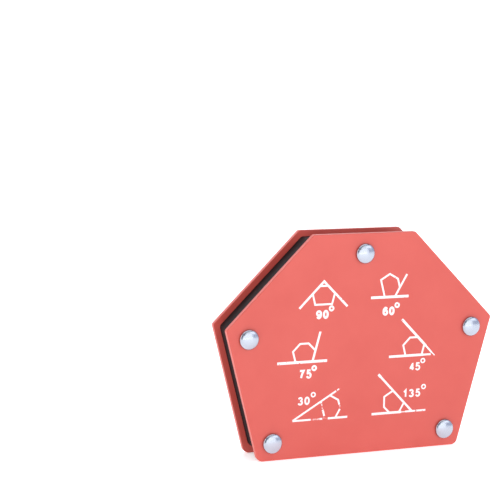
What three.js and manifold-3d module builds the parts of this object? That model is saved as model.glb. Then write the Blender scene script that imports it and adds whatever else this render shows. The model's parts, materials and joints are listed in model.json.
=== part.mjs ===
// Magnetic welding holder: two six-sided steel plates riveted over a plastic frame of ferrite magnets.
// Millimetres, +Z up. It stands on its bottom edge, and its printed front plate faces -Y.

import * as THREE from 'three';
import { mergeVertices } from 'three/addons/utils/BufferGeometryUtils.js';
import Module from 'manifold-3d';

const wasm = await Module();
wasm.setup();

// Outline of the plates
const WIDTH = 110;               // across the two side corners
const HEIGHT = 84;
const SIDE_HEIGHT = 50;          // height of the side corners
const SIDE_ANGLE = 75;           // degrees between the bottom edge and a lower side
const BEVEL_ANGLE = 45;          // degrees between a bevel and the horizontal
const CORNER_RADIUS = 1.2;       // the four upper corners
const BOTTOM_CORNER_RADIUS = 2.5;

// Sandwich
const PLATE_THICKNESS = 2;
const PLATE_GAP = 11.5;          // between the plates' inner faces
const CORE_INSET = 2.3;          // the frame's edge lies this far inside the plates' edge
const CORE_CORNER_RADIUS = 1.6;
const CORE_BOTTOM_CORNER_RADIUS = 3;

// Rivets: distances from a rivet's centre to the edges beside it
const TOP_RIVET_TO_TOP = 7.6;
const SIDE_RIVET_TO_SIDE = 7.6;
const SIDE_RIVET_TO_BEVEL = 8.8;
const LOW_RIVET_TO_BOTTOM = 6.7;
const LOW_RIVET_TO_SIDE = 7.1;
const SHANK_DIAMETER = 4;
const HEAD_DIAMETER = 7.6;
const HEAD_HEIGHT = 2;
const HEAD_RIM = 0.3;            // straight rim under the dome
const SLEEVE_WALL = 1.2;

// Magnets in the frame
const MAGNET_COLUMNS = 4;
const MAGNET_ROWS = 2;
const FRAME_WALL = 2.4;          // plastic left round the magnets, at the edge and at the rivets
const RIB = 1.5;                 // plastic between two magnets

const CLEARANCE = 0.3;           // round every piece that drops into a hole or a pocket
const ROUND_STEPS = 24;          // sides of a round hole, a shank or a head
const CORNER_STEPS = 6;          // steps in a rounded corner
const DOME_STEPS = 5;

const radians = THREE.MathUtils.degToRad;
const HALF = WIDTH / 2;
const BOTTOM_HALF = HALF - SIDE_HEIGHT / Math.tan(radians(SIDE_ANGLE));
const TOP_HALF = HALF - (HEIGHT - SIDE_HEIGHT) / Math.tan(radians(BEVEL_ANGLE));
const SHANK_HOLE = SHANK_DIAMETER / 2 + CLEARANCE;
const SLEEVE_RADIUS = SHANK_HOLE + SLEEVE_WALL;
const SLEEVE_HOLE = SLEEVE_RADIUS + CLEARANCE;

const paint = new THREE.MeshStandardMaterial({ color: 0xe8706a, roughness: 0.45, metalness: 0 });
const plastic = new THREE.MeshStandardMaterial({ color: 0x1f1c1e, roughness: 0.5, metalness: 0 });
const ferrite = new THREE.MeshStandardMaterial({ color: 0x3a3a3d, roughness: 0.7, metalness: 0 });
const bright = new THREE.MeshStandardMaterial({ color: 0xd5dbe2, roughness: 0.2, metalness: 1 });
const aluminium = new THREE.MeshStandardMaterial({ color: 0xb9bcc0, roughness: 0.4, metalness: 1 });

// Corners of the outline, counterclockwise from the lower left, seen from the front.
function outlineCorners() {
  return [
    new THREE.Vector2(-BOTTOM_HALF, 0),
    new THREE.Vector2(BOTTOM_HALF, 0),
    new THREE.Vector2(HALF, SIDE_HEIGHT),
    new THREE.Vector2(TOP_HALF, HEIGHT),
    new THREE.Vector2(-TOP_HALF, HEIGHT),
    new THREE.Vector2(-HALF, SIDE_HEIGHT),
  ];
}

// The point at given distances inside the two edges that meet at corner i.
function insideCorner(corners, i, toPrevious, toNext) {
  const count = corners.length;
  const corner = corners[i];
  const back = corners[(i + count - 1) % count].clone().sub(corner).normalize();
  const ahead = corners[(i + 1) % count].clone().sub(corner).normalize();
  const spread = Math.abs(ahead.cross(back));
  return corner.clone().addScaledVector(ahead, toPrevious / spread).addScaledVector(back, toNext / spread);
}

function insetCorners(corners, inset) {
  return corners.map((corner, i) => insideCorner(corners, i, inset, inset));
}

// A closed outline with a circular arc at every corner. Corners 0 and 1 are the bottom ones.
function roundedOutline(corners, bottomRadius, upperRadius) {
  const shape = new THREE.Shape();
  const count = corners.length;
  corners.forEach((corner, i) => {
    const radius = i < 2 ? bottomRadius : upperRadius;
    const back = corners[(i + count - 1) % count].clone().sub(corner).normalize();
    const ahead = corners[(i + 1) % count].clone().sub(corner).normalize();
    const halfAngle = Math.acos(THREE.MathUtils.clamp(back.dot(ahead), -1, 1)) / 2;
    const middle = back.clone().add(ahead).normalize();
    const centre = corner.clone().addScaledVector(middle, radius / Math.sin(halfAngle));
    const start = corner.clone().addScaledVector(back, radius / Math.tan(halfAngle)).sub(centre);
    const sweep = Math.PI - 2 * halfAngle;
    for (let step = 0; step <= CORNER_STEPS; step += 1) {
      const turn = sweep * step / CORNER_STEPS;
      const point = start.clone().rotateAround(new THREE.Vector2(), turn).add(centre);
      if (i === 0 && step === 0) shape.moveTo(point.x, point.y);
      else shape.lineTo(point.x, point.y);
    }
  });
  shape.closePath();
  return shape;
}

// Turns a shape's extrusion so that the shape lies in XZ and its depth runs along Y from one face on.
// Every entry is 0, 1 or -1, so faces that touch stay in exactly the same plane.
const LAY_IN_XZ = new THREE.Matrix4().set(
  1, 0, 0, 0,
  0, 0, -1, 0,
  0, 1, 0, 0,
  0, 0, 0, 1,
);

function slab(shape, frontY, backY) {
  const geometry = new THREE.ExtrudeGeometry(shape, {
    depth: backY - frontY,
    bevelEnabled: false,
    steps: 1,
    curveSegments: ROUND_STEPS / 2,
  });
  geometry.translate(0, 0, -backY);
  return geometry.applyMatrix4(LAY_IN_XZ);
}

function circle(centre, radius) {
  const path = new THREE.Path();
  path.absarc(centre.x, centre.y, radius, 0, 2 * Math.PI, true);
  return path;
}

function rectangle(box) {
  return new THREE.Shape([
    new THREE.Vector2(box.min.x, box.min.y),
    new THREE.Vector2(box.max.x, box.min.y),
    new THREE.Vector2(box.max.x, box.max.y),
    new THREE.Vector2(box.min.x, box.max.y),
  ]);
}

function toSolid(geometry) {
  const bare = geometry.clone();
  bare.deleteAttribute('normal');
  bare.deleteAttribute('uv');
  const merged = mergeVertices(bare);
  return new wasm.Manifold(new wasm.Mesh({
    numProp: 3,
    vertProperties: new Float32Array(merged.attributes.position.array),
    triVerts: new Uint32Array(merged.index.array),
  }));
}

function toGeometry(solid) {
  const mesh = solid.getMesh();
  const geometry = new THREE.BufferGeometry();
  geometry.setAttribute('position', new THREE.BufferAttribute(mesh.vertProperties, 3));
  geometry.setIndex(new THREE.BufferAttribute(mesh.triVerts, 1));
  geometry.computeVertexNormals();
  return geometry;
}

const GAP_FRONT = -PLATE_GAP / 2;
const GAP_BACK = PLATE_GAP / 2;
const FRONT_FACE = GAP_FRONT - PLATE_THICKNESS;
const BACK_FACE = GAP_BACK + PLATE_THICKNESS;

// A rivet under the middle of the top edge, one inside each side corner and one inside each bottom corner.
function rivetCentres(corners) {
  const lowLeft = insideCorner(corners, 0, LOW_RIVET_TO_SIDE, LOW_RIVET_TO_BOTTOM);
  const left = insideCorner(corners, 5, SIDE_RIVET_TO_BEVEL, SIDE_RIVET_TO_SIDE);
  return {
    top: new THREE.Vector2(0, HEIGHT - TOP_RIVET_TO_TOP),
    left,
    right: new THREE.Vector2(-left.x, left.y),
    low_left: lowLeft,
    low_right: new THREE.Vector2(-lowLeft.x, lowLeft.y),
  };
}

// The rectangle that the magnets' pockets fill, a frame wall away from the rivets and the frame's edge.
function magnetField(rivets) {
  const keep = SLEEVE_HOLE + FRAME_WALL;
  const edge = CORE_INSET + FRAME_WALL;
  const bottom = rivets.low_left.y + keep;
  const lowerSide = BOTTOM_HALF + bottom / Math.tan(radians(SIDE_ANGLE));
  const half = Math.min(lowerSide - edge / Math.sin(radians(SIDE_ANGLE)), rivets.right.x - keep);
  const bevel = SIDE_HEIGHT + (HALF - half) * Math.tan(radians(BEVEL_ANGLE));
  const top = Math.min(bevel - edge / Math.cos(radians(BEVEL_ANGLE)), rivets.top.y - keep);
  return new THREE.Box2(new THREE.Vector2(-half, bottom), new THREE.Vector2(half, top));
}

function magnetPockets(field) {
  const size = field.getSize(new THREE.Vector2());
  const wide = (size.x - (MAGNET_COLUMNS - 1) * RIB) / MAGNET_COLUMNS;
  const high = (size.y - (MAGNET_ROWS - 1) * RIB) / MAGNET_ROWS;
  const pockets = [];
  for (let row = 0; row < MAGNET_ROWS; row += 1) {
    for (let column = 0; column < MAGNET_COLUMNS; column += 1) {
      const low = new THREE.Vector2(column * (wide + RIB), row * (high + RIB)).add(field.min);
      pockets.push(new THREE.Box2(low, low.clone().add(new THREE.Vector2(wide, high))));
    }
  }
  return pockets;
}

function plate(corners, rivets, frontY, backY) {
  const shape = roundedOutline(corners, BOTTOM_CORNER_RADIUS, CORNER_RADIUS);
  Object.values(rivets).forEach((centre) => shape.holes.push(circle(centre, SHANK_HOLE)));
  return slab(shape, frontY, backY);
}

// The frame's pockets are cut from a solid slab, deeper than it, so that they open on both faces.
function coreFrame(corners, rivets, pockets) {
  const inside = insetCorners(corners, CORE_INSET);
  const shape = roundedOutline(inside, CORE_BOTTOM_CORNER_RADIUS, CORE_CORNER_RADIUS);
  Object.values(rivets).forEach((centre) => shape.holes.push(circle(centre, SLEEVE_HOLE)));
  let frame = toSolid(slab(shape, GAP_FRONT, GAP_BACK));
  pockets.forEach((pocket) => {
    frame = frame.subtract(toSolid(slab(rectangle(pocket), FRONT_FACE, BACK_FACE)));
  });
  return toGeometry(frame);
}

function magnet(pocket) {
  return slab(rectangle(pocket.clone().expandByScalar(-CLEARANCE)), GAP_FRONT, GAP_BACK);
}

// A profile of radius and Y, turned about the Y axis.
function turned(profile) {
  return new THREE.LatheGeometry(profile, ROUND_STEPS);
}

function sleeve() {
  return turned([
    new THREE.Vector2(SHANK_HOLE, GAP_FRONT),
    new THREE.Vector2(SLEEVE_RADIUS, GAP_FRONT),
    new THREE.Vector2(SLEEVE_RADIUS, GAP_BACK),
    new THREE.Vector2(SHANK_HOLE, GAP_BACK),
    new THREE.Vector2(SHANK_HOLE, GAP_FRONT),
  ]);
}

// One end's head, from the middle of the dome to the shank. outward is -1 in front and 1 behind.
function headProfile(face, outward) {
  const radius = HEAD_DIAMETER / 2;
  const dome = HEAD_HEIGHT - HEAD_RIM;
  const points = [new THREE.Vector2(0, face + outward * HEAD_HEIGHT)];
  for (let step = 1; step <= DOME_STEPS; step += 1) {
    const angle = Math.PI / 2 * step / DOME_STEPS;
    const out = face + outward * (HEAD_RIM + dome * Math.cos(angle));
    points.push(new THREE.Vector2(radius * Math.sin(angle), out));
  }
  points.push(new THREE.Vector2(radius, face));
  points.push(new THREE.Vector2(SHANK_DIAMETER / 2, face));
  return points;
}

// The set head at the back has the same shape as the front head.
function rivet() {
  return turned([...headProfile(FRONT_FACE, -1), ...headProfile(BACK_FACE, 1).reverse()]);
}

function addPiece(parent, name, geometry, material, centre) {
  const mesh = new THREE.Mesh(geometry, material);
  mesh.name = name;
  if (centre) mesh.position.set(centre.x, 0, centre.y);
  parent.add(mesh);
}

const corners = outlineCorners();
const rivets = rivetCentres(corners);
const pockets = magnetPockets(magnetField(rivets));

const holder = new THREE.Group();
addPiece(holder, 'front_plate', plate(corners, rivets, FRONT_FACE, GAP_FRONT), paint);
addPiece(holder, 'back_plate', plate(corners, rivets, GAP_BACK, BACK_FACE), paint);
addPiece(holder, 'core_frame', coreFrame(corners, rivets, pockets), plastic);
pockets.forEach((pocket, i) => addPiece(holder, `ferrite_magnet_${i + 1}`, magnet(pocket), ferrite));
Object.entries(rivets).forEach(([place, centre]) => {
  addPiece(holder, `spacer_sleeve_${place}`, sleeve(), aluminium, centre);
  addPiece(holder, `rivet_${place}`, rivet(), bright, centre);
});

export default holder;
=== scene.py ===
# A magnetic welding holder: two red powder-coated steel plates riveted over a black plastic frame
# full of ferrite magnets, with white angle pictures printed on the front plate.
import json
import math

import bmesh
import bpy
from mathutils import Euler, Matrix, Vector


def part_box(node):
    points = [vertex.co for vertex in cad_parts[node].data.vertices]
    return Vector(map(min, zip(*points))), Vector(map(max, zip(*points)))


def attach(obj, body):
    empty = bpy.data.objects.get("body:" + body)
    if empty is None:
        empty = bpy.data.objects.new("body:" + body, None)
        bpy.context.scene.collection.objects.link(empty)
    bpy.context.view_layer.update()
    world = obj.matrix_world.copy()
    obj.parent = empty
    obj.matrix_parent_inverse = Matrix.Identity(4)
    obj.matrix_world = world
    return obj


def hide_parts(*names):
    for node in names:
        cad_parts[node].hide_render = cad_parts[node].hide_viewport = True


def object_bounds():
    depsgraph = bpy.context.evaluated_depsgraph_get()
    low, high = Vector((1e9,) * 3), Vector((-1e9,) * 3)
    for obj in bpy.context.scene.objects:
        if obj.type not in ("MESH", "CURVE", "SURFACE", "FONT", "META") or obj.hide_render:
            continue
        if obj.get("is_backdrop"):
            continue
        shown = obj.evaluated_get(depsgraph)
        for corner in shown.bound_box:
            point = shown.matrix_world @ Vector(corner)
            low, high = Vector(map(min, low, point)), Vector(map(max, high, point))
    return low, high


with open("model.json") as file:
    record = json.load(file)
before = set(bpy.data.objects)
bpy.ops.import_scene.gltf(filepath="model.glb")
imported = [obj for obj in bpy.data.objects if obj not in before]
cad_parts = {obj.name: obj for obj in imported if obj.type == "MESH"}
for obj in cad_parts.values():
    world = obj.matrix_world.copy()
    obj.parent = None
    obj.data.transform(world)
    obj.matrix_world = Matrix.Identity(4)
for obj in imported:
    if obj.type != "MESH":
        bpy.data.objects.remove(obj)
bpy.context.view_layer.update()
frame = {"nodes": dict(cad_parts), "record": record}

mm = 0.001

# ---------------------------------------------------------------------------------------------
# Camera
# A long lens a little to the left of the holder and above it, so that the left working edges
# and the gap between the plates show beside the printed face.
front_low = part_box("front_plate")[0]
aim = Vector((-46.4 * mm, front_low.y, 79.4 * mm))
eye_distance = 595.3 * mm
heading = math.radians(22.468)      # to the right of +Y
tilt = math.radians(8.155)          # below the horizontal
roll = math.radians(1.109)

camera_data = bpy.data.cameras.new("camera")
camera_data.sensor_width = 36
camera_data.lens = 118.58
camera_data.clip_start = 0.01
camera_data.clip_end = 50
camera = bpy.data.objects.new("camera", camera_data)
bpy.context.scene.collection.objects.link(camera)
bpy.context.scene.camera = camera
turn = Euler((math.pi / 2 - tilt, 0, -heading)).to_matrix() @ Matrix.Rotation(roll, 3, "Z")
forward = turn @ Vector((0, 0, -1))
camera.matrix_world = Matrix.Translation(aim - forward * eye_distance) @ turn.to_4x4()

# ---------------------------------------------------------------------------------------------
# Plates
# Two alike blanks of 2 mm steel, punched with five rivet holes and powder coated red. The coat
# rounds every edge over. Their six straight edges are the working edges that grip the steel.
plate_corner = 1.2 * mm
plate_bottom_corner = 2.5 * mm
plate_outer_round = 0.25 * mm
plate_inner_round = 0.2 * mm
corner_steps = 10           # segments of a rounded corner, seen from the front
edge_steps = 5              # segments of a rounded-over edge
hole_sides = 48
blank_margin = 10 * mm      # spare stock round a blank before it is cut
smooth_below = 30           # degrees: faces that meet at less are shaded as one surface
working_edges = [
    (Vector(mount["pos_m"]), Vector(mount["axis"]).normalized())
    for mount in frame["record"]["mounts"]
]
rivet_places = ["top", "left", "right", "low_left", "low_right"]


def middle_of(node):
    low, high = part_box(node)
    return (low + high) / 2


def finish_edit():
    bpy.ops.mesh.select_all(action="DESELECT")
    bpy.ops.object.mode_set(mode="OBJECT")


def settle(piece):
    """Leaves the piece's place, turn and size in its mesh, with the object at the origin."""
    bpy.ops.object.select_all(action="DESELECT")
    piece.select_set(True)
    bpy.context.view_layer.objects.active = piece
    bpy.ops.object.transform_apply(location=True, rotation=True, scale=True)


def add_block(name, low, high):
    bpy.ops.object.select_all(action="DESELECT")
    bpy.ops.mesh.primitive_cube_add(size=1, location=(low + high) / 2, scale=high - low)
    block = bpy.context.object
    block.name = name
    settle(block)
    return block


def apply_modifier(piece, kind, **settings):
    modifier = piece.modifiers.new(kind.lower(), kind)
    for key, value in settings.items():
        setattr(modifier, key, value)
    bpy.ops.object.select_all(action="DESELECT")
    piece.select_set(True)
    bpy.context.view_layer.objects.active = piece
    bpy.ops.object.modifier_apply(modifier=modifier.name)


def six_sided_block(name, node, inset, corner, bottom_corner):
    """A block as deep as the node, cut to the working edges moved in by inset.

    Its corners are rounded one at a time, the two bottom ones by bottom_corner.
    """
    low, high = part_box(node)
    margin = Vector((blank_margin, 0, blank_margin))
    block = add_block(name, low - margin, high + margin)
    bpy.ops.object.mode_set(mode="EDIT")
    for place, outward in working_edges:
        bpy.ops.mesh.select_all(action="SELECT")
        bpy.ops.mesh.bisect(
            plane_co=place - outward * inset, plane_no=outward, use_fill=True, clear_outer=True
        )
    sharp = True
    while sharp:
        bpy.ops.mesh.select_all(action="DESELECT")
        mesh = bmesh.from_edit_mesh(block.data)
        sharp = [
            edge for edge in mesh.edges
            if abs((edge.verts[0].co - edge.verts[1].co).normalized().y) > 0.99
            and edge.calc_face_angle() > math.radians(30)
        ]
        if sharp:
            sharp[0].select_set(True)
            at_bottom = sharp[0].verts[0].co.z < middle_of(node).z / 2
            radius = bottom_corner if at_bottom else corner
            reach = radius * math.tan(sharp[0].calc_face_angle() / 2)
            bmesh.update_edit_mesh(block.data)
            bpy.ops.mesh.bevel(
                offset=reach, segments=corner_steps, affect="EDGES", clamp_overlap=False
            )
    finish_edit()
    return block


def round_face_edges(block, face_y, radius):
    """Rounds the edges that go round the flat face at face_y."""
    bpy.ops.object.select_all(action="DESELECT")
    block.select_set(True)
    bpy.context.view_layer.objects.active = block
    bpy.ops.object.mode_set(mode="EDIT")
    bpy.ops.mesh.select_all(action="DESELECT")
    mesh = bmesh.from_edit_mesh(block.data)
    for edge in mesh.edges:
        edge.select_set(all(abs(vert.co.y - face_y) < 0.01 * mm for vert in edge.verts))
    bmesh.update_edit_mesh(block.data)
    bpy.ops.mesh.bevel(offset=radius, segments=edge_steps, affect="EDGES", clamp_overlap=False)
    finish_edit()


def bore(piece, place, radius, low_y, high_y):
    """Cuts a round hole along Y."""
    bpy.ops.object.select_all(action="DESELECT")
    bpy.ops.mesh.primitive_cylinder_add(
        vertices=hole_sides, radius=radius, depth=high_y - low_y,
        location=(place.x, (low_y + high_y) / 2, place.z), rotation=(math.pi / 2, 0, 0),
    )
    cutter = bpy.context.object
    apply_modifier(piece, "BOOLEAN", object=cutter, operation="DIFFERENCE", solver="EXACT")
    bpy.data.objects.remove(cutter)


def smooth(piece, degrees):
    bpy.ops.object.select_all(action="DESELECT")
    piece.select_set(True)
    bpy.context.view_layer.objects.active = piece
    bpy.ops.object.shade_smooth_by_angle(angle=math.radians(degrees))


def linear(hex_colour):
    """An sRGB hex colour as linear RGBA."""
    parts = [int(hex_colour[i:i + 2], 16) / 255 for i in (1, 3, 5)]
    return [c / 12.92 if c <= 0.04045 else ((c + 0.055) / 1.055) ** 2.4 for c in parts] + [1]


def add_node(tree, kind, inputs, **settings):
    """Adds a shader node. inputs gives a value, or another node's output, for each socket."""
    made = tree.nodes.new("ShaderNode" + kind)
    for key, value in settings.items():
        setattr(made, key, value)
    for key, value in inputs.items():
        if isinstance(value, bpy.types.NodeSocket):
            tree.links.new(value, made.inputs[key])
        else:
            made.inputs[key].default_value = value
    return made


def new_material(name):
    """An empty node material: its tree, its Principled shader and its Object coordinates."""
    material = bpy.data.materials.new(name)
    material.use_nodes = True
    tree = material.node_tree
    tree.nodes.clear()
    shader = add_node(tree, "BsdfPrincipled", {})
    add_node(tree, "OutputMaterial", {"Surface": shader.outputs["BSDF"]})
    place = add_node(tree, "TexCoord", {}).outputs["Object"]
    return material, tree, shader, place


# Red polyester powder coat: a satin, even red. Cured powder flows into a fine orange peel about
# 1 mm across, which softens the reflections, and its pigment clouds very slightly.
peel_size = 1.1 * mm
cloud_size = 14 * mm
speck_size = 0.25 * mm
powder_coat, tree, shader, place = new_material("red powder coat")
clouds = add_node(tree, "TexNoise", {"Vector": place, "Scale": 1 / cloud_size, "Detail": 3})
tones = add_node(tree, "ValToRGB", {"Fac": clouds.outputs["Fac"]})
tones.color_ramp.elements[0].position = 0.3
tones.color_ramp.elements[0].color = linear("#D1554A")
tones.color_ramp.elements[1].position = 0.7
tones.color_ramp.elements[1].color = linear("#D55A4F")
specks = add_node(tree, "TexNoise", {"Vector": place, "Scale": 1 / speck_size, "Detail": 2})
sheen_range = add_node(
    tree, "MapRange", {"Value": specks.outputs["Fac"], "To Min": 0.34, "To Max": 0.46}
)
peel = add_node(
    tree, "TexNoise", {"Vector": place, "Scale": 1 / peel_size, "Detail": 2, "Roughness": 0.4}
)
relief = add_node(
    tree, "Bump", {"Height": peel.outputs["Fac"], "Strength": 0.35, "Distance": 0.03 * mm}
)
tree.links.new(tones.outputs["Color"], shader.inputs["Base Color"])
tree.links.new(sheen_range.outputs["Result"], shader.inputs["Roughness"])
tree.links.new(relief.outputs["Normal"], shader.inputs["Normal"])
shader.inputs["IOR"].default_value = 1.5

shank_hole = 2.3 * mm       # radius
for name in ["front_plate", "back_plate"]:
    low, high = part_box(name)
    plate = six_sided_block(name + "_coated", name, 0, plate_corner, plate_bottom_corner)
    outer_y, inner_y = (low.y, high.y) if name == "front_plate" else (high.y, low.y)
    round_face_edges(plate, outer_y, plate_outer_round)
    round_face_edges(plate, inner_y, plate_inner_round)
    for rivet_place in rivet_places:
        bore(plate, middle_of("rivet_" + rivet_place), shank_hole, low.y - mm, high.y + mm)
    smooth(plate, smooth_below)
    apply_modifier(plate, "WEIGHTED_NORMAL", keep_sharp=True)
    plate.data.materials.append(powder_coat)
    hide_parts(name)
    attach(plate, "root")

# ---------------------------------------------------------------------------------------------
# Core frame
# An injection-moulded black plastic frame between the plates. Its edge lies 2.3 mm inside theirs,
# so that only steel touches the work, and it holds the magnets and the spacer sleeves.
core_inset = 2.3 * mm
core_corner = 1.6 * mm
core_bottom_corner = 3 * mm
pocket_clearance = 0.3 * mm
core_edge_round = 0.2 * mm
core = six_sided_block(
    "core_frame_moulding", "core_frame", core_inset, core_corner, core_bottom_corner
)
low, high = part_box("core_frame")
round_face_edges(core, low.y, core_edge_round)
round_face_edges(core, high.y, core_edge_round)
for rivet_place in rivet_places:
    sleeve_low, sleeve_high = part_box("spacer_sleeve_" + rivet_place)
    sleeve_hole = (sleeve_high.x - sleeve_low.x) / 2 + pocket_clearance
    bore(core, (sleeve_low + sleeve_high) / 2, sleeve_hole, low.y - mm, high.y + mm)
magnet_nodes = sorted(name for name in frame["nodes"] if name.startswith("ferrite_magnet"))
for magnet_node in magnet_nodes:
    magnet_low, magnet_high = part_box(magnet_node)
    room = Vector((pocket_clearance, mm, pocket_clearance))
    cutter = add_block("pocket_cutter", magnet_low - room, magnet_high + room)
    apply_modifier(core, "BOOLEAN", object=cutter, operation="DIFFERENCE", solver="EXACT")
    bpy.data.objects.remove(cutter)
smooth(core, smooth_below)
apply_modifier(core, "WEIGHTED_NORMAL", keep_sharp=True)

# Black ABS from a spark-eroded mould: a fine matt grain, a little uneven in gloss. It is nearly
# black and reflects little, so that the gap between the plates reads as a dark line.
grain_size = 0.3 * mm
gloss_size = 6 * mm
black_abs, tree, shader, place = new_material("black moulded ABS")
haze = add_node(tree, "TexNoise", {"Vector": place, "Scale": 1 / gloss_size, "Detail": 4})
tones = add_node(tree, "ValToRGB", {"Fac": haze.outputs["Fac"]})
tones.color_ramp.elements[0].position = 0.35
tones.color_ramp.elements[0].color = linear("#09060A")
tones.color_ramp.elements[1].position = 0.7
tones.color_ramp.elements[1].color = linear("#0E090E")
grain = add_node(tree, "TexNoise", {"Vector": place, "Scale": 1 / grain_size, "Detail": 3})
gloss = add_node(tree, "MapRange", {"Value": haze.outputs["Fac"], "To Min": 0.5, "To Max": 0.7})
relief = add_node(
    tree, "Bump", {"Height": grain.outputs["Fac"], "Strength": 0.3, "Distance": 0.02 * mm}
)
tree.links.new(tones.outputs["Color"], shader.inputs["Base Color"])
tree.links.new(gloss.outputs["Result"], shader.inputs["Roughness"])
tree.links.new(relief.outputs["Normal"], shader.inputs["Normal"])
shader.inputs["IOR"].default_value = 1.54
shader.inputs["Specular IOR Level"].default_value = 0.25
core.data.materials.append(black_abs)
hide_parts("core_frame")
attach(core, "root")

# ---------------------------------------------------------------------------------------------
# Magnets
# Pressed and sintered ferrite blocks, ground flat on the two pole faces that meet the plates.
# Their edges are broken by tumbling. They drop into the frame's pockets.
magnet_edge = 0.4 * mm


def copy_of(piece, name, move):
    """A copy with its own mesh, moved in the mesh."""
    copy = bpy.data.objects.new(name, piece.data.copy())
    bpy.context.scene.collection.objects.link(copy)
    copy.data.transform(Matrix.Translation(move))
    return copy


# Sintered ferrite: charcoal grey, matt, with fine pits between the grains.
pit_size = 0.5 * mm         # drawn coarser than real pits, which are too fine to see
dust_size = 3 * mm
ferrite, tree, shader, place = new_material("sintered ferrite")
pits = add_node(tree, "TexVoronoi", {"Vector": place, "Scale": 1 / pit_size})
dust = add_node(tree, "TexNoise", {"Vector": place, "Scale": 1 / dust_size, "Detail": 5})
tones = add_node(tree, "ValToRGB", {"Fac": dust.outputs["Fac"]})
tones.color_ramp.elements[0].position = 0.3
tones.color_ramp.elements[0].color = linear("#2B2B2E")
tones.color_ramp.elements[1].position = 0.75
tones.color_ramp.elements[1].color = linear("#454549")
matt = add_node(tree, "MapRange", {"Value": dust.outputs["Fac"], "To Min": 0.55, "To Max": 0.8})
relief = add_node(
    tree, "Bump", {"Height": pits.outputs["Distance"], "Strength": 0.4, "Distance": 0.03 * mm}
)
tree.links.new(tones.outputs["Color"], shader.inputs["Base Color"])
tree.links.new(matt.outputs["Result"], shader.inputs["Roughness"])
tree.links.new(relief.outputs["Normal"], shader.inputs["Normal"])

first_low, first_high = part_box(magnet_nodes[0])
pattern = add_block("magnet_pattern", first_low, first_high)
apply_modifier(pattern, "BEVEL", width=magnet_edge, segments=3, limit_method="ANGLE")
smooth(pattern, smooth_below)
apply_modifier(pattern, "WEIGHTED_NORMAL", keep_sharp=True)
pattern.data.materials.append(ferrite)
for magnet_node in magnet_nodes:
    move = middle_of(magnet_node) - middle_of(magnet_nodes[0])
    magnet = copy_of(pattern, magnet_node + "_block", move)
    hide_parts(magnet_node)
    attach(magnet, "root")
bpy.data.objects.remove(pattern)

# ---------------------------------------------------------------------------------------------
# Spacer sleeves
# Short lengths of aluminium tube round the rivets. They hold the plates apart, so that setting a
# rivet doesn't crush the plastic frame. The saw leaves their ends lightly broken.
sleeve_low, sleeve_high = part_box("spacer_sleeve_top")
sleeve_middle = (sleeve_low + sleeve_high) / 2
sleeve_radius = (sleeve_high.x - sleeve_low.x) / 2
sleeve_edge = 0.15 * mm
bpy.ops.object.select_all(action="DESELECT")
bpy.ops.mesh.primitive_cylinder_add(
    vertices=hole_sides, radius=sleeve_radius, depth=sleeve_high.y - sleeve_low.y,
    location=sleeve_middle, rotation=(math.pi / 2, 0, 0),
)
sleeve_pattern = bpy.context.object
settle(sleeve_pattern)
bpy.ops.object.mode_set(mode="EDIT")
bpy.ops.mesh.select_all(action="DESELECT")
mesh = bmesh.from_edit_mesh(sleeve_pattern.data)
for face in mesh.faces:
    face.select_set(abs(face.normal.y) > 0.9)
bmesh.update_edit_mesh(sleeve_pattern.data)
bpy.ops.mesh.inset(thickness=sleeve_radius - shank_hole, use_even_offset=True)
bpy.ops.mesh.bridge_edge_loops()
finish_edit()
apply_modifier(
    sleeve_pattern, "BEVEL", width=sleeve_edge, segments=2, limit_method="ANGLE",
    angle_limit=math.radians(50),
)
smooth(sleeve_pattern, smooth_below)

# Drawn aluminium tube: satin, with fine lines along its length.
line_width = 0.2 * mm
line_stretch = 0.05         # along the tube, so that each line is 20 times as long as wide
aluminium, tree, shader, place = new_material("drawn aluminium")
stretch = add_node(tree, "Mapping", {"Vector": place, "Scale": (1, line_stretch, 1)})
lines = add_node(
    tree, "TexNoise", {"Vector": stretch.outputs["Vector"], "Scale": 1 / line_width, "Detail": 3}
)
satin = add_node(tree, "MapRange", {"Value": lines.outputs["Fac"], "To Min": 0.3, "To Max": 0.5})
relief = add_node(
    tree, "Bump", {"Height": lines.outputs["Fac"], "Strength": 0.2, "Distance": 0.01 * mm}
)
tree.links.new(satin.outputs["Result"], shader.inputs["Roughness"])
tree.links.new(relief.outputs["Normal"], shader.inputs["Normal"])
shader.inputs["Base Color"].default_value = linear("#D9DADC")
shader.inputs["Metallic"].default_value = 1
sleeve_pattern.data.materials.append(aluminium)
for rivet_place in rivet_places:
    node = "spacer_sleeve_" + rivet_place
    sleeve = copy_of(sleeve_pattern, node + "_tube", middle_of(node) - sleeve_middle)
    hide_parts(node)
    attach(sleeve, "root")
bpy.data.objects.remove(sleeve_pattern)

# ---------------------------------------------------------------------------------------------
# Rivets
# Round-head steel rivets, bright plated and polished. Each passes through both plates and its
# sleeve, and is headed over at the back in a die of the same shape. Half of one is modelled, as a
# flattened ball cut at the rim and drawn out into the shank, and mirrored.
rivet_low, rivet_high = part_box("rivet_top")
rivet_middle = (rivet_low + rivet_high) / 2
head_radius = (rivet_high.x - rivet_low.x) / 2
head_rim = 0.5 * mm         # height of the straight part under the dome
head_undercut = 0.6 * mm    # how far the rim draws in towards the plate
shank_radius = 2 * mm
rim_y = front_low.y - head_rim
dome = rim_y - rivet_low.y
bpy.ops.object.select_all(action="DESELECT")
bpy.ops.mesh.primitive_uv_sphere_add(
    segments=64, ring_count=48, radius=head_radius,
    location=(rivet_middle.x, rim_y, rivet_middle.z), rotation=(math.pi / 2, 0, 0),
)
rivet_pattern = bpy.context.object
settle(rivet_pattern)
bpy.ops.object.mode_set(mode="EDIT")
bpy.ops.mesh.select_all(action="SELECT")
head_centre = (rivet_middle.x, rim_y, rivet_middle.z)
bpy.ops.transform.resize(value=(1, dome / head_radius, 1), center_override=head_centre)
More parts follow.
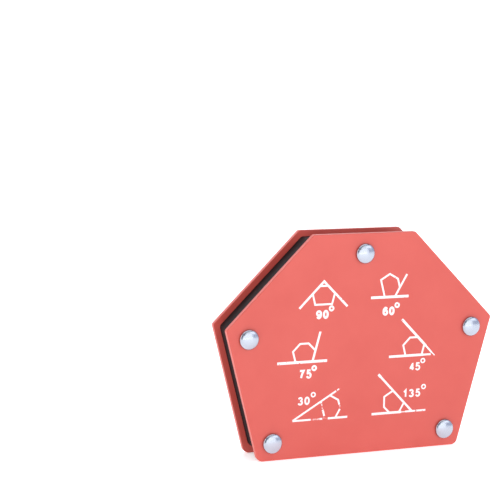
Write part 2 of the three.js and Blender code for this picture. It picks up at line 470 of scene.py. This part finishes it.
bpy.ops.mesh.bisect(
    plane_co=head_centre, plane_no=(0, 1, 0), clear_outer=True, threshold=0.001 * mm
)
bpy.ops.mesh.select_all(action="DESELECT")
mesh = bmesh.from_edit_mesh(rivet_pattern.data)
for edge in mesh.edges:
    edge.select_set(edge.is_boundary)
bmesh.update_edit_mesh(rivet_pattern.data)
bpy.ops.mesh.extrude_edges_move(TRANSFORM_OT_translate={"value": (0, head_rim / 4, 0)})
bpy.ops.mesh.extrude_edges_move(TRANSFORM_OT_translate={"value": (0, head_rim * 3 / 4, 0)})
undercut = 1 - head_undercut / head_radius
bpy.ops.transform.resize(value=(undercut, 1, undercut), center_override=head_centre)
bpy.ops.mesh.extrude_edges_move()
narrow = shank_radius / (head_radius - head_undercut)
bpy.ops.transform.resize(value=(narrow, 1, narrow), center_override=head_centre)
half_shank = rivet_middle.y - front_low.y
bpy.ops.mesh.extrude_edges_move(TRANSFORM_OT_translate={"value": (0, half_shank, 0)})
bpy.ops.mesh.select_all(action="SELECT")
bpy.ops.mesh.normals_make_consistent(inside=False)
finish_edit()
apply_modifier(rivet_pattern, "MIRROR", use_axis=(False, True, False), merge_threshold=0.01 * mm)
bpy.ops.object.mode_set(mode="EDIT")
bpy.ops.mesh.select_all(action="SELECT")
bpy.ops.mesh.normals_make_consistent(inside=False)
finish_edit()
smooth(rivet_pattern, 40)   # the dome runs on into the rim, and the undercut starts at a crease

# Bright nickel plate over polished steel: a clear reflection with faint polishing haze.
haze_size = 0.9 * mm
nickel, tree, shader, place = new_material("polished nickel plate")
haze = add_node(tree, "TexNoise", {"Vector": place, "Scale": 1 / haze_size, "Detail": 4})
polish = add_node(tree, "MapRange", {"Value": haze.outputs["Fac"], "To Min": 0.16, "To Max": 0.28})
relief = add_node(
    tree, "Bump", {"Height": haze.outputs["Fac"], "Strength": 0.12, "Distance": 0.02 * mm}
)
tree.links.new(polish.outputs["Result"], shader.inputs["Roughness"])
tree.links.new(relief.outputs["Normal"], shader.inputs["Normal"])
shader.inputs["Base Color"].default_value = linear("#B7BDC8")
shader.inputs["Metallic"].default_value = 1
rivet_pattern.data.materials.append(nickel)
for rivet_place in rivet_places:
    node = "rivet_" + rivet_place
    rivet = copy_of(rivet_pattern, node + "_polished", middle_of(node) - rivet_middle)
    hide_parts(node)
    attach(rivet, "root")
bpy.data.objects.remove(rivet_pattern)

# ---------------------------------------------------------------------------------------------
# Printed angle pictures
# White ink, screen printed on the front plate: for each angle a small outline of the holder lies
# against two bars of work, with the angle in degrees beside it. The ink is thin, and has cracked
# or rubbed away in places.
ink_thickness = 0.06        # this and all the sizes and places of the pictures are in mm
picture_scale = 0.0825      # of a small outline to the holder
bar = 1.0                   # widths of the strokes: the bars of work on the base,
slope_bar = 0.85            # the bars that lean on the holder,
line = 0.7                  # the small outlines,
bold = 0.85                 # the heavier numbers,
plain = 0.66                # and the lighter ones
stroke_easing = 0.3         # of a stroke's width, at its corners
ring_radius = 0.78          # of a degree sign
edge_order = ["bottom_edge", "right_side_edge", "right_bevel_edge", "top_edge",
              "left_bevel_edge", "left_side_edge"]
mounts = {mount["name"]: mount for mount in frame["record"]["mounts"]}


def corner_between(one, other):
    """Where two working edges meet, as (x, z) in mm."""
    (ax, _, az), (px, _, pz) = mounts[one]["axis"], mounts[one]["pos_m"]
    (bx, _, bz), (qx, _, qz) = mounts[other]["axis"], mounts[other]["pos_m"]
    a, b = ax * px + az * pz, bx * qx + bz * qz
    spread = ax * bz - az * bx
    return Vector(((a * bz - b * az) / spread, (ax * b - bx * a) / spread)) / mm


# Corner i is where working edge i starts, going counterclockwise from the bottom edge.
outline = [corner_between(edge_order[i - 1], edge_order[i]) for i in range(6)]


def small_outline(turn_degrees, corner, place):
    """The outline scaled down and turned, with one of its corners at place."""
    turned = Matrix.Rotation(math.radians(turn_degrees), 2)
    points = [turned @ (point * picture_scale) for point in outline]
    move = Vector(place) - points[corner]
    return [point + move for point in points]


def stroke(points, width, closed=False):
    """A flat line of ink through the points, given as (x, z), with its corners eased."""
    bpy.ops.object.select_all(action="DESELECT")
    bpy.ops.mesh.primitive_circle_add(vertices=max(3, len(points)), radius=1)
    ink = bpy.context.object
    bpy.ops.object.mode_set(mode="EDIT")
    mesh = bmesh.from_edit_mesh(ink.data)
    mesh.verts.ensure_lookup_table()
    if len(points) < len(mesh.verts):
        mesh.verts.remove(mesh.verts[2])
    mesh.verts.ensure_lookup_table()
    for vert, (x, z) in zip(mesh.verts, points):
        vert.co = (x, ink_thickness / 2, z)
    if not closed:
        for edge in list(mesh.verts[0].link_edges):
            if edge.other_vert(mesh.verts[0]) is not mesh.verts[1]:
                mesh.edges.remove(edge)
    bmesh.update_edit_mesh(ink.data)
    bpy.ops.mesh.select_all(action="SELECT")
    bpy.ops.mesh.extrude_edges_move(TRANSFORM_OT_translate={"value": (0, -ink_thickness, 0)})
    finish_edit()
    apply_modifier(ink, "SOLIDIFY", thickness=width, offset=0, use_even_offset=True)
    bpy.ops.object.mode_set(mode="EDIT")
    bpy.ops.mesh.select_all(action="SELECT")
    bpy.ops.mesh.normals_make_consistent(inside=False)
    bpy.ops.mesh.select_all(action="DESELECT")
    mesh = bmesh.from_edit_mesh(ink.data)
    for edge in mesh.edges:
        run = (edge.verts[0].co - edge.verts[1].co).normalized()
        edge.select_set(abs(run.y) > 0.99 and edge.calc_face_angle() > math.radians(80))
    bmesh.update_edit_mesh(ink.data)
    bpy.ops.mesh.bevel(offset=width * stroke_easing, segments=3, affect="EDGES")
    finish_edit()
    return ink


def arc(centre, radii, start, end, steps):
    """Points along part of an ellipse, from start to end in degrees."""
    angles = [math.radians(start + (end - start) * i / steps) for i in range(steps + 1)]
    return [
        (centre[0] + radii[0] * math.cos(angle), centre[1] + radii[1] * math.sin(angle))
        for angle in angles
    ]


# The centre lines of the plain figures, in a box one unit wide and high. A line that ends where it
# starts is closed.
six = [
    arc((0.5, 0.31), (0.5, 0.31), 0, 360, 16),
    arc((0.5, 0.5), (0.5, 0.5), 35, 180, 8) + [(0, 0.31)],
]
figure_lines = {
    "0": [arc((0.5, 0.5), (0.5, 0.5), 0, 360, 18)],
    "1": [[(0.12, 0.72), (0.6, 1.0), (0.6, 0.0)]],
    "3": [
        arc((0.47, 0.76), (0.42, 0.24), 165, -90, 10),
        arc((0.47, 0.27), (0.5, 0.27), 90, -165, 10),
    ],
    "4": [
        [(0.72, 0.0), (0.72, 1.05)],
        [(0.76, 1.0), (0.04, 0.24)],
        [(0.0, 0.28), (1.05, 0.28)],
    ],
    "5": [
        [(0.92, 1.0), (0.22, 1.0), (0.13, 0.46)],
        arc((0.46, 0.32), (0.5, 0.32), 128, -160, 12),
    ],
    "6": six,
    "7": [[(0.0, 1.0), (1.0, 1.0), (0.66, 0.62), (0.45, 0.3), (0.36, 0.0)]],
    "9": [[(1 - x, 1 - z) for x, z in part] for part in six],
}


def figures(text, middles, middle_z, height, width, weight):
    """A number, each figure centred on its x in middles, drawn with lines of the given weight."""
    made = []
    for character, middle_x in zip(text, middles):
        for part in figure_lines[character]:
            points = [
                (middle_x + (x - 0.5) * (width - weight), middle_z + (z - 0.5) * (height - weight))
                for x, z in part
            ]
            closed = (Vector(points[0]) - Vector(points[-1])).length < 0.01
            made.append(stroke(points[:-1] if closed else points, weight, closed))
    return made


def degree_sign(centre, weight):
    return stroke(arc(centre, (ring_radius, ring_radius), 0, 337.5, 15), weight, closed=True)


# White screen-print ink: matt, not quite even, and worn through to the red coat in small spots,
# where the noise is below worn_below.
wear_size = 0.9 * mm


def ink_material(name, worn_below, whole_above):
    made, tree, shader, place = new_material(name)
    wear = add_node(tree, "TexNoise", {"Vector": place, "Scale": 1 / wear_size, "Detail": 5})
    tones = add_node(tree, "ValToRGB", {"Fac": wear.outputs["Fac"]})
    tones.color_ramp.elements[0].position = worn_below
    tones.color_ramp.elements[0].color = linear("#E66F66")
    tones.color_ramp.elements[1].position = whole_above
    tones.color_ramp.elements[1].color = linear("#FBF4F2")
    matt = add_node(
        tree, "MapRange", {"Value": wear.outputs["Fac"], "To Min": 0.65, "To Max": 0.45}
    )
    relief = add_node(
        tree, "Bump", {"Height": wear.outputs["Fac"], "Strength": 0.2, "Distance": 0.02 * mm}
    )
    tree.links.new(tones.outputs["Color"], shader.inputs["Base Color"])
    tree.links.new(matt.outputs["Result"], shader.inputs["Roughness"])
    tree.links.new(relief.outputs["Normal"], shader.inputs["Normal"])
    return made


white_ink = ink_material("white screen-print ink", 0.25, 0.36)
rubbed_ink = ink_material("rubbed white ink", 0.42, 0.66)


def print_picture(name, parts, ink):
    """Unites the parts of one picture into one layer of ink on the front plate."""
    layer = parts[0]
    for part in parts[1:]:
        apply_modifier(layer, "BOOLEAN", object=part, operation="UNION", solver="EXACT")
        bpy.data.objects.remove(part)
    layer.name = name
    onto_plate = Matrix.Translation((0, front_low.y - ink_thickness / 2 * mm, 0))
    layer.data.transform(onto_plate @ Matrix.Scale(mm, 4))
    layer.data.materials.clear()
    layer.data.materials.append(ink)
    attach(layer, "root")


# 90 degrees: the two bevels under a roof of work.
apex = Vector((-16.5, 66.6))
house = small_outline(0, 0, (-19.93, 57.95))
print_picture("print_90", [
    stroke([(-26.3, 56.8), apex, (-6.7, 56.8)], slope_bar),
    stroke([house[5], house[0], house[1], house[2]], line),
    stroke([house[3], house[4]], line),
    *figures("90", (-18.3, -15.5), 54.15, 3.4, 2.4, bold),
    degree_sign((-13.2, 56.3), plain * 1.08),
], white_ink)

# 60 degrees: a lower side on the base, and a bevel under the slope.
tilted = small_outline(-75, 1, (8.75, 59.47))
print_picture("print_60", [
    stroke([(3.0, 59.47), (18.8, 59.47)], bar),
    stroke([(13.1, 59.6), (17.9, 67.9)], slope_bar * 0.9),
    stroke([tilted[1], tilted[0], tilted[5], tilted[4], tilted[3]], line),
    *figures("60", (9.2, 11.9), 54.1, 3.4, 2.35, bold),
    degree_sign((14.1, 56.2), plain * 1.08),
], white_ink)

# 75 degrees: the bottom edge on the base, and a lower side under the slope.
upright = small_outline(0, 0, (-27.35, 36.65))
print_picture("print_75", [
    stroke([(-34.7, 36.65), (-14.5, 36.65)], bar),
    stroke([(-20.45, 36.7), (-17.5, 47.8)], slope_bar),
    stroke([upright[0], upright[5], upright[4], upright[3], upright[2]], line),
    *figures("75", (-24.7, -21.8), 32.0, 3.5, 2.3, bold * 0.93),
    degree_sign((-19.7, 34.1), plain * 1.08),
], white_ink)

# 45 degrees: the bottom edge on the base, and a bevel under the slope.
leaning = small_outline(0, 0, (18.35, 36.43))
print_picture("print_45", [
    stroke([(11.3, 36.43), (26.0, 36.43)], bar * 0.95),
    stroke([(25.8, 36.4), (29.2, 36.4)], line),
    stroke([(16.4, 50.6), (27.0, 39.8)], bar * 0.95),
    stroke([(26.8, 40.0), (29.6, 37.1)], line),
    stroke([(29.4, 37.3), (30.9, 35.9)], line * 0.6),
    stroke([leaning[0], leaning[5], leaning[4], leaning[3]], line),
    stroke([leaning[1], leaning[2]], line),
    *figures("45", (21.2, 23.8), 32.0, 3.2, 2.2, plain * 0.92),
    degree_sign((25.9, 34.1), plain * 0.8),
], white_ink)

# 30 degrees: a lower side on the base, and the other under the slope. The ink has cracked across
# the base and two sides.
wedge = small_outline(-75, 1, (-14.83, 14.5))
print_picture("print_30", [
    stroke([(-28.0, 14.5), (-20.6, 14.5)], line),
    stroke([(-28.0, 14.6), (-10.4, 24.76)], line),
    stroke([(-10.0, 25.0), (-9.2, 25.46)], line * 0.8),
    stroke([wedge[5], wedge[4], wedge[4].lerp(wedge[3], 0.55)], line),
    stroke([wedge[0], wedge[0].lerp(wedge[1], 0.1)], line),
    stroke([(-13.6, 14.5), (-5.5, 14.5)], bar * 0.8),
    stroke([wedge[3].lerp(wedge[2], 0.05), wedge[2]], line),
    stroke([wedge[0].lerp(wedge[1], 0.48), wedge[0].lerp(wedge[1], 0.85)], line * 1.1),
    stroke([(-16.9, 14.5), (-15.9, 14.5)], line),
    *figures("30", (-25.0, -22.3), 21.85, 3.2, 2.2, plain),
    degree_sign((-19.8, 24.0), plain * 0.8),
], white_ink)
print_picture("print_30_rubbed", [
    stroke([(-20.6, 14.5), (-17.0, 14.5)], line * 0.8),
    stroke([wedge[0].lerp(wedge[1], 0.14), wedge[0].lerp(wedge[1], 0.44)], line * 0.7),
    stroke([wedge[4].lerp(wedge[3], 0.58), wedge[3].lerp(wedge[4], 0.05)], line * 0.8),
    stroke([(-15.7, 14.9), (-14.2, 14.6)], line * 0.5),
], rubbed_ink)

# 135 degrees: a bevel on the base, and the bottom edge under the slope.
propped = small_outline(135, 4, (12.3, 14.67))
print_picture("print_135", [
    stroke([(4.7, 14.67), (17.3, 14.67)], bar * 0.92),
    stroke([(17.1, 14.6), (19.3, 14.6)], line * 0.5),
    stroke([(19.1, 14.67), (23.3, 14.67)], line),
    stroke([(23.7, 14.67), (27.7, 14.67)], line),
    stroke([(7.1, 29.9), (21.7, 14.8)], slope_bar * 0.95),
    stroke([(7.1, 29.9), (8.2, 28.75)], bar),
    stroke([propped[4], propped[3], propped[2], propped[1]], line),
    stroke([propped[5], propped[0]], line),
    *figures("135", (18.8, 21.4, 24.2), 21.7, 3.2, 2.2, plain),
    degree_sign((26.6, 23.9), plain * 0.8),
], white_ink)
print_picture("print_135_rubbed", [stroke([(23.2, 14.67), (23.9, 14.67)], line * 0.6)], rubbed_ink)

# ---------------------------------------------------------------------------------------------
# Floor and light
# A seamless sheet of white acrylic, lit from below so that shadows on it stay faint, and soft boxes
# in front, high in front, on the left, overhead and on the right. These sizes are in metres.
sheet_size = 24
sheet_back = 2              # Y of the line where the sheet turns up
wall_height = 2.5
sweep_radius = 0.8
sweep_steps = 24
ambient = 0.32
mottle_size = 2.5 * mm
acrylic, tree, shader, place = new_material("backlit white acrylic")
mottle = add_node(tree, "TexNoise", {"Vector": place, "Scale": 1 / mottle_size, "Detail": 3})
tones = add_node(tree, "ValToRGB", {"Fac": mottle.outputs["Fac"]})
tones.color_ramp.elements[0].color = linear("#FBFBFB")
tones.color_ramp.elements[1].color = linear("#FFFFFF")
tree.links.new(tones.outputs["Color"], shader.inputs["Base Color"])
shader.inputs["Roughness"].default_value = 0.4
shader.inputs["Emission Color"].default_value = linear("#FFFFFF")
shader.inputs["Emission Strength"].default_value = 0.5

bpy.ops.object.select_all(action="DESELECT")
bpy.ops.mesh.primitive_plane_add(size=sheet_size, location=(0, sheet_back - sheet_size / 2, 0))
floor = bpy.context.object
floor.name = "floor"
settle(floor)
bpy.ops.object.mode_set(mode="EDIT")
bpy.ops.mesh.select_all(action="DESELECT")
mesh = bmesh.from_edit_mesh(floor.data)
for edge in mesh.edges:
    edge.select_set(all(vert.co.y > sheet_back - mm for vert in edge.verts))
bmesh.update_edit_mesh(floor.data)
bpy.ops.mesh.extrude_edges_move(TRANSFORM_OT_translate={"value": (0, 0, wall_height)})
finish_edit()
apply_modifier(floor, "BEVEL", width=sweep_radius, segments=sweep_steps)
smooth(floor, 60)
floor.data.materials.append(acrylic)
floor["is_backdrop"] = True


def softbox(name, place, target, size, brightness, colour):
    """A soft light of an even brightness, where 1 is a surface that shows as white."""
    light = bpy.data.lights.new(name, "AREA")
    light.shape = "RECTANGLE"
    light.size, light.size_y = size
    light.energy = math.pi * size[0] * size[1] * brightness
    light.color = linear(colour)[:3]
    lamp = bpy.data.objects.new(name, light)
    bpy.context.scene.collection.objects.link(lamp)
    lamp.location = place
    lamp.rotation_euler = (Vector(target) - Vector(place)).to_track_quat("-Z", "Y").to_euler()


softbox("front_light", (-0.05, -0.85, 0.2), (-0.05, 0, 0.2), (1.05, 0.4), 1.55, "#FFFFFF")
softbox("high_light", (0.5, -1.0, 0.8), (0.1, 0, 0.05), (1.9, 0.6), 1.15, "#FFFFFF")
softbox("left_light", (-1.2, 0.1, 0.4), (0, 0.1, 0.1), (1.0, 0.9), 1.5, "#FFF4EE")
softbox("top_light", (-0.2, 0.5, 1.5), (-0.2, 0.5, 0), (2.2, 2.8), 0.85, "#FFFFFF")
softbox("right_light", (1.5, -0.65, 0.7), (0, 0, 0.3), (2.8, 1.6), 0.62, "#E4E8FF")

world = bpy.data.worlds.new("studio")
world.use_nodes = True
background = world.node_tree.nodes["Background"]
background.inputs["Color"].default_value = linear("#D8DEF0")
background.inputs["Strength"].default_value = ambient
bpy.context.scene.world = world
bpy.context.scene.view_settings.view_transform = "Standard"

low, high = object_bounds()
